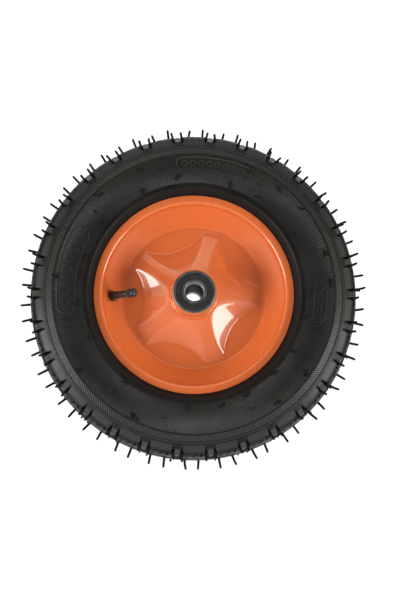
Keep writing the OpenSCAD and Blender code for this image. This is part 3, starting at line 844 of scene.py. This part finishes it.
def star_depth(radius, angle):
    """Depth of the star disc's outer face: a cone with five round scallops, on a flat floor."""
    out = NECK_DEPTH - (radius - HUB_R) * (NECK_DEPTH - SHEET) / (RIB_FOOT_R - HUB_R)
    centre_r = SCALLOP_REACH + SCALLOP_R
    for i in range(RIBS):
        middle = RIB_TURN + (i + 0.5) * FULL_TURN / RIBS
        away = np.sqrt(radius**2 + centre_r**2 - 2 * radius * centre_r * np.cos(angle - middle))
        out = smooth_min(out, SHEET + (away - SCALLOP_R) / SCALLOP_LEAN, CREASE)
    return smooth_max(out, SHEET, CREASE / 2)


def rim_profile():
    """Middle of the sheet from the flat floor to the flange's edge."""
    corners = [
        (JOINT_R - 5, SHEET / 2),
        (JOINT_R, SHEET / 2),
        (SEAT_R - SHEET / 2, SEAT_END),
        (SEAT_R - SHEET / 2, FLANGE_DEPTH + SHEET / 2),
        (FLANGE_R - SHEET / 2, FLANGE_DEPTH + SHEET / 2),
    ]
    return rounded(corners, [5, 6, 3.2], 9)


def make_rim_half(side):
    """The pressed sheet of one side: star disc, bead seat and a flange with a round edge."""
    angle = (np.arange(RIM_COLS) / RIM_COLS * FULL_TURN)[None, :]
    disc_r = np.concatenate([[HUB_R + 0.05], np.arange(HUB_R + 0.8, JOINT_R - 5.4, 0.85)])[:, None]
    front = star_depth(disc_r, angle)
    slope = np.gradient(front, disc_r[:, 0], axis=0)
    back = front - SHEET * np.sqrt(1 + np.clip(slope, -2, 2) ** 2)
    back = np.maximum(back, 0.02)
    wall = rim_profile()
    normal = normals_2d(wall)
    skin, under = wall + normal * SHEET / 2, wall - normal * SHEET / 2
    turn = np.linspace(0, math.pi, 8)[1:-1]
    end, ahead = wall[-1], np.array([normal[-1][1], -normal[-1][0]])
    edge = [end + (normal[-1] * math.cos(t) + ahead * math.sin(t)) * SHEET / 2 for t in turn]
    rest = np.concatenate([skin, edge, under[::-1]])
    disc = np.broadcast_to(disc_r, front.shape)
    rest_r, rest_d = np.repeat(rest[:, :1], RIM_COLS, axis=1), np.repeat(rest[:, 1:], RIM_COLS, axis=1)
    rows_r = np.concatenate([disc, rest_r, disc[::-1]])
    rows_d = np.concatenate([front, rest_d, back[::-1]])
    vertices = on_wheel(rows_r, rows_d, angle, side).reshape(-1, 3)
    name = side_name(side, "rim")
    piece = new_object(name, vertices, grid_faces(len(rows_r), RIM_COLS, True), 60.0)
    stand_for(piece, ORANGE_PAINT, "wheel", "orange_paint", name + "_half")
    if side == FRONT:
        drill(piece, VALVE_ROOT, VALVE_AXIS, VALVE_HOLE_D / 2, 14.0)
    return piece


def drill(piece, centre, axis, radius, length):
    """Cuts a round hole through a piece."""
    outline = [(0, -length / 2), (radius, -length / 2), (radius, length / 2), (0, length / 2)]
    tool = turned(piece.name + "_drill", outline, centre, axis, 64)
    cut = piece.modifiers.new("hole", "BOOLEAN")
    cut.object, cut.operation, cut.solver = tool, "DIFFERENCE", "EXACT"
    bpy.context.view_layer.objects.active = piece
    bpy.ops.object.modifier_apply(modifier=cut.name)
    bpy.data.objects.remove(tool)


def make_hub_weld(side):
    """A weld bead round the hub tube, rippled where each pool set over the last."""
    dice = random.Random(5 + side)
    wander = [dice.uniform(0, FULL_TURN) for _ in range(3)]
    leg = WELD_R - HUB_R
    foot = NECK_DEPTH - 1.0
    outline = [(HUB_R - 0.4, foot - 1.5), (HUB_R + 0.1, WELD_TOP)]
    rise = WELD_TOP - foot + 2.4
    for t in np.linspace(0.25, 1.35, 9):
        outline.append((HUB_R + leg * math.sin(t) * 0.95, foot - 2.4 + rise * math.cos(t)))
    outline.append((WELD_R, foot - 3.4))

    def ripple(radius, along, angle):
        phase = angle * WELD_POOLS + 1.2 * np.sin(angle * 3 + wander[0])
        pool = 0.16 * (np.abs(np.sin(phase / 2)) - 0.6) + 0.1 * np.sin(angle * 7 + wander[1])
        pool += 0.07 * np.sin(angle * 13 + wander[2])
        out = smooth_step(HUB_R, HUB_R + 0.8, radius) * pool
        return np.minimum(radius + out, WELD_R), side * np.minimum(along + out * 0.8, WELD_TOP)

    name = side_name(side, "hub_weld")
    piece = turned(name + "_bead", outline, cols=360, shape=ripple, sharp=75.0)
    return stand_for(piece, ORANGE_PAINT, "wheel", "orange_paint", name)


# ---------------------------------------------------------------------------
# Bearing seals
# ---------------------------------------------------------------------------


# Section of a seal: place from its outer edge to its lip, and depth into it, both from nought to one
SEAL_SECTION = [(0, 1), (0, 0.25), (0.05, 0.05), (0.12, 0), (0.22, 0), (0.3, 0.22)]
SEAL_SECTION += [(0.62, 0.22), (0.7, 0.02), (0.84, 0), (0.93, 0.1), (1, 0.35), (1, 1)]
SEAL_LIP_R = BORE_R + 4.0


def make_seal(end, face):
    """A moulded lip seal: flat rubber, a raised ring near each edge and a shallow channel between them."""
    node = f"{end}_bearing_{face}_seal"
    low, high = box_mm(node)
    near, far_side = (low[1], high[1]) if abs(low[1]) > abs(high[1]) else (high[1], low[1])
    if face == "inner":
        near, far_side = far_side, near
    sign = math.copysign(1, near - far_side)
    out = high[0]
    width = abs(near - far_side)
    outline = [(out - t * (out - SEAL_LIP_R), near - sign * d * width) for t, d in SEAL_SECTION]
    piece = turned(node + "_lip", outline, cols=160, sharp=50.0)
    return stand_for(piece, SEAL_RUBBER, "wheel", "seal_rubber", node)


# ---------------------------------------------------------------------------
# Valve
# ---------------------------------------------------------------------------

THREAD_R = 3.85
THREAD_PITCH = 0.79
THREAD_H = 0.22
STEM_END_R = 4.0
BODY_R = 3.1
CORE_R = 2.3
CAP_R = 4.7
CAP_L = 12.0
CAP_GAP = 0.3
CAP_RIBS = 20
CAP_RIB_H = 0.42
SPRING_SEAT = 5.5
PIN_HEAD = 2.1
SPRING_TURNS = 4
SPRING_R = 1.15
WIRE_R = 0.18


def make_valve_stem():
    """Moulded rubber over the valve: a collar at the rim, then a slightly waisted taper to the thread."""
    hole = VALVE_HOLE_D / 2 - 0.35
    outline = [(BODY_R, -0.8), (hole, -0.8), (hole, 1.2)]
    outline += [(hole - 0.05, 1.8), (hole - 0.35, 2.2)]
    waist = (hole - 0.9, STEM_L * 0.35), (STEM_END_R, STEM_L * 0.5)
    body = bezier((hole - 0.35, 2.2), *waist, (STEM_END_R, STEM_L - 1.4), 14)
    outline += [tuple(p) for p in body]
    outline += [(STEM_END_R - 0.12, STEM_L - 0.6), (STEM_END_R - 0.45, STEM_L - 0.1)]
    outline += [(STEM_END_R - 0.8, STEM_L), (BODY_R, STEM_L)]
    piece = turned("valve_rubber", outline, VALVE_ROOT, VALVE_AXIS, 64)
    return stand_for(piece, VALVE_RUBBER, "wheel", "valve_rubber", "valve_stem")


def make_valve_body():
    """The brass body with its thread."""
    end = STEM_L + THREAD_L
    rows = np.arange(STEM_L + 0.1, end - 0.35, 0.19)
    outline = [(1.2, -0.7), (BODY_R, -0.7), (BODY_R, STEM_L + 0.05)]
    outline += [(THREAD_R, a) for a in rows]
    outline += [(THREAD_R - 0.45, end), (CORE_R + 0.1, end)]
    outline += [(CORE_R + 0.1, STEM_L), (1.2, STEM_L)]

    def thread(radius, along, angle):
        turn = np.cos(FULL_TURN * along / THREAD_PITCH - angle)
        fade = smooth_step(STEM_L + 0.3, STEM_L + 1.2, along)
        fade = fade * (1 - smooth_step(end - 1.0, end - 0.4, along))
        outer = radius > THREAD_R - 0.05
        return np.where(outer, radius - THREAD_H * (1 + turn) * fade, radius), along

    piece = turned("valve_brass", outline, VALVE_ROOT, VALVE_AXIS, 64, shape=thread, sharp=50.0)
    return stand_for(piece, BRASS, "wheel", "brass", "valve_body")


def make_valve_cap():
    """A ribbed plastic cap with a plain, slightly domed end."""
    start = STEM_L + CAP_GAP
    inner = THREAD_R + 0.1
    top = start + CAP_L
    outline = [(0, top - 2.1), (inner - 0.6, top - 2.1), (inner, top - 2.7), (inner, start + 0.25)]
    outline += [(inner + 0.2, start), (CAP_R - 0.35, start), (CAP_R - 0.08, start + 0.15)]
    outline += [(CAP_R, start + 0.5), (CAP_R, start + 1.2)]
    outline += [(CAP_R, a) for a in np.linspace(start + 1.6, start + CAP_L * 0.66, 12)]
    outline += [(CAP_R, start + CAP_L * 0.7), (CAP_R - 0.15, start + CAP_L * 0.76)]
    outline += [(CAP_R - 0.6, start + CAP_L * 0.9), (CAP_R - 1.1, top - 0.5)]
    outline += [(CAP_R - 1.9, top - 0.1), (CAP_R - 3, top), (0, top)]

    def ribs(radius, along, angle):
        fade = 1 - smooth_step(start + CAP_L * 0.64, start + CAP_L * 0.7, along)
        zone = smooth_step(start + 1.0, start + 1.7, along) * fade
        outer = radius > CAP_R - 0.03
        wave = 0.5 + 0.5 * np.cos(angle * CAP_RIBS)
        return np.where(outer, radius - CAP_RIB_H * wave**2 * zone, radius), along

    piece = turned("valve_dust_cap", outline, VALVE_ROOT, VALVE_AXIS, CAP_RIBS * 8, shape=ribs, sharp=50.0)
    return stand_for(piece, CAP_PLASTIC, "valve_cap", "cap_plastic", "valve_cap")


def make_valve_spring():
    """The wound return spring under the pin's head, built at its rest length; the real one shortens as the
    pin goes in.
    """
    end = STEM_L + THREAD_L
    low, high = end - SPRING_SEAT, end - PIN_HEAD
    u = VALVE_AXIS.orthogonal().normalized()
    v = VALVE_AXIS.cross(u)
    steps, sides = 24, 8
    rings = SPRING_TURNS * steps
    points = []
    for i in range(rings + 1):
        turn = i / steps * FULL_TURN
        out = u * math.cos(turn) + v * math.sin(turn)
        along = low + WIRE_R + 0.02 + (high - low - 2 * WIRE_R - 0.04) * i / rings
        for k in range(sides):
            a = k / sides * FULL_TURN
            rise, aside = WIRE_R * math.sin(a), WIRE_R * math.cos(a)
            place = VALVE_ROOT + VALVE_AXIS * (along + rise) + out * (SPRING_R + aside)
            points.append(place * MM)
    faces = grid_faces(rings + 1, sides)
    faces += [list(range(sides))[::-1], [rings * sides + k for k in range(sides)]]
    piece = new_object("valve_return_spring", np.array(points), faces, 60.0)
    stand_for(piece, SPRING_STEEL, "wheel", "spring_steel", "valve_spring")
    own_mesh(piece)
    return piece


# ---------------------------------------------------------------------------
# CAD nodes that keep their shape
# ---------------------------------------------------------------------------


def finish_node(node, material, bevel=0.0):
    """Gives a CAD node its material and, where it shows, softened edges."""
    piece = frame["nodes"][node]
    piece.data.materials.clear()
    piece.data.materials.append(material)
    if bevel:
        soften = piece.modifiers.new("soft_edges", "BEVEL")
        soften.width, soften.segments = bevel * MM, 2
        soften.limit_method, soften.angle_limit = "ANGLE", math.radians(40)
    piece.data.shade_smooth()
    piece.data.set_sharp_from_angle(angle=math.radians(35))


# ---------------------------------------------------------------------------
# Room, lights and camera
# ---------------------------------------------------------------------------

FLOOR_Z = -0.95
FLOOR_FRONT = -7.0
CURVE_START = 2.2
CURVE_R = 1.6
ROOM_HALF_W = 12.0
VIEW_DISTANCE = 1.6
VIEW_AZIMUTH = math.radians(-1.4)
VIEW_ELEVATION = math.radians(-8.0)
PIXELS_PER_METRE = 900.6
LONG_SIDE = 600
SENSOR_W = 36.0
LENS_SHIFT = (0.011, -0.0042)
WORLD_LIGHT = 0.17


def make_room():
    """A pale floor that curves up into a pale wall behind the wheel."""
    turn = np.linspace(0.1, math.pi / 2, 12)
    wall = [CURVE_START + CURVE_R] * 2
    flat = np.linspace(FLOOR_FRONT, CURVE_START, 12)
    depth = np.concatenate([flat, CURVE_START + CURVE_R * np.sin(turn), wall])
    height = np.concatenate([np.zeros(12), CURVE_R - CURVE_R * np.cos(turn), [3.0, 5.0]])
    vertices, faces = [], []
    for y, z in zip(depth, height):
        vertices += [(-ROOM_HALF_W, y, FLOOR_Z + z), (ROOM_HALF_W, y, FLOOR_Z + z)]
    for i in range(len(depth) - 1):
        faces.append([2 * i, 2 * i + 1, 2 * i + 3, 2 * i + 2])
    mesh = bpy.data.meshes.new("studio_floor")
    mesh.from_pydata(vertices, [], faces)
    mesh.shade_smooth()
    floor = bpy.data.objects.new("studio_floor", mesh)
    bpy.context.scene.collection.objects.link(floor)
    s = Shader("studio_white", Roughness=0.9, Specular_IOR_Level=0.1)
    s.feed("Base Color", s.mix(s.noise(1.5), (0.86, 0.86, 0.86), (0.89, 0.89, 0.885)))
    mesh.materials.append(s.material)


def add_light(name, place, target, size, power, colour=(1, 1, 1)):
    light = bpy.data.lights.new(name, "AREA")
    light.shape, light.size, light.size_y = "RECTANGLE", size[0], size[1]
    light.energy, light.color = power, colour
    lamp = bpy.data.objects.new(name, light)
    lamp.location = place
    lamp.rotation_euler = (Vector(target) - Vector(place)).to_track_quat("-Z", "Y").to_euler()
    bpy.context.scene.collection.objects.link(lamp)
    return lamp


def make_lights():
    amber = (1.0, 0.92, 0.72)
    cream = (1.0, 0.98, 0.94)
    add_light("left_softbox", (-1.2, -0.66, -0.36), (0, 0, 0), (0.56, 0.70), 19, cream)
    add_light("right_softbox", (1.2, -0.66, -0.38), (0, 0, 0), (0.45, 0.72), 16, cream)
    add_light("top_softbox", (0, -0.45, 1.35), (0, 0, 0), (2.2, 0.9), 4)
    add_light("amber_panel", (-0.1, -1.15, 1.4), (0, 0, 0), (1.9, 0.9), 8, amber)
    add_light("left_fill", (-1.25, -0.45, 0.38), (0, 0, 0), (0.9, 0.7), 3.5, amber)
    add_light("right_fill", (1.25, -0.45, 0.38), (0, 0, 0), (0.9, 0.7), 3.5, amber)
    add_light("front_fill", (0.2, -2.8, 1.9), (0, 0, 0), (2.4, 1.2), 3)
    add_light("backdrop_wash", (0, 1.2, 2.6), (0, 3.4, 0.0), (5.0, 1.0), 135)
    world = bpy.data.worlds.new("studio")
    world.use_nodes = True
    back = world.node_tree.nodes["Background"]
    back.inputs[0].default_value, back.inputs[1].default_value = (1, 1, 1, 1), WORLD_LIGHT
    bpy.context.scene.world = world
    bpy.context.scene.view_settings.view_transform = "Standard"


def make_camera():
    data = bpy.data.cameras.new("camera")
    data.sensor_width = SENSOR_W
    data.lens = PIXELS_PER_METRE * VIEW_DISTANCE * SENSOR_W / LONG_SIDE
    data.shift_x, data.shift_y = LENS_SHIFT
    camera = bpy.data.objects.new("camera", data)
    flat = math.cos(VIEW_ELEVATION)
    back = Vector((math.sin(VIEW_AZIMUTH) * flat, -math.cos(VIEW_AZIMUTH) * flat, math.sin(VIEW_ELEVATION)))
    camera.location = back * VIEW_DISTANCE
    camera.rotation_euler = (-back).to_track_quat("-Z", "Y").to_euler()
    bpy.context.scene.collection.objects.link(camera)
    bpy.context.scene.camera = camera


# ---------------------------------------------------------------------------
# Everything in place
# ---------------------------------------------------------------------------

TYRE_RUBBER = tyre_rubber()
HAIR_RUBBER = hair_rubber()
# Painted highlight: the serration ribs are the tyre's own rubber, painted several times lighter to stand
# for light on their crests.
RIB_RUBBER_PAINTED_HIGHLIGHT = smooth_rubber("rib_rubber_painted_highlight", (0.028, 0.028, 0.029), (0.050, 0.050, 0.051), 0.44)
MARK_RUBBER = smooth_rubber("mark_rubber", (0.012, 0.012, 0.0125), (0.026, 0.026, 0.027), 0.36)
TUBE_RUBBER = smooth_rubber("tube_rubber", (0.018, 0.018, 0.018), (0.034, 0.034, 0.034), 0.45)
VALVE_RUBBER = smooth_rubber("valve_rubber", (0.006, 0.006, 0.006), (0.012, 0.012, 0.012), 0.34)
SEAL_RUBBER = smooth_rubber("seal_rubber", (0.006, 0.006, 0.0065), (0.013, 0.013, 0.014), 0.4)
ORANGE_PAINT = orange_paint()
RING_STEEL = turned_steel("ring_steel", (0.16, 0.16, 0.165), (0.30, 0.30, 0.30), 0.28)
SPACER_STEEL = turned_steel("spacer_steel", (0.012, 0.011, 0.010), (0.026, 0.024, 0.022), 0.6)
CAGE_STEEL = bright_steel("cage_steel", (0.42, 0.41, 0.38), 0.3)
BALL_STEEL = bright_steel("ball_steel", (0.78, 0.78, 0.79), 0.06)
BEAD_STEEL = bright_steel("bead_steel", (0.50, 0.42, 0.30), 0.35)
SPRING_STEEL = bright_steel("spring_steel", (0.6, 0.6, 0.6), 0.2)
BRASS = brass()
CAP_PLASTIC = cap_plastic()

make_camera()
make_room()
make_lights()

make_tyre()
make_crown_hairs()
for side in (FRONT, REAR):
    make_serrations(side)
    make_side_marks(side)
    make_shoulder_hairs(side)
    make_sidewall_hairs(side)
    make_rim_half(side)
    make_hub_weld(side)
for end in ("front", "rear"):
    for face in ("outer", "inner"):
        make_seal(end, face)
make_valve_stem()
make_valve_body()
make_valve_cap()
make_valve_spring()

for end in ("front", "rear"):
    finish_node(f"{end}_bead_wire", BEAD_STEEL)
    finish_node(f"{end}_bearing_outer_ring", RING_STEEL, 0.25)
    finish_node(f"{end}_bearing_inner_ring", RING_STEEL)
    finish_node(f"{end}_bearing_balls", BALL_STEEL)
    finish_node(f"{end}_bearing_cage", CAGE_STEEL)
finish_node("inner_tube", TUBE_RUBBER)
finish_node("valve_base", TUBE_RUBBER)
finish_node("rim_seam_weld", ORANGE_PAINT)
finish_node("hub_tube", ORANGE_PAINT, 0.4)
finish_node("axle_spacer", SPACER_STEEL, 0.2)
finish_node("valve_core", BRASS)
finish_node("valve_core_seal", SEAL_RUBBER)
finish_node("valve_pin", BRASS)
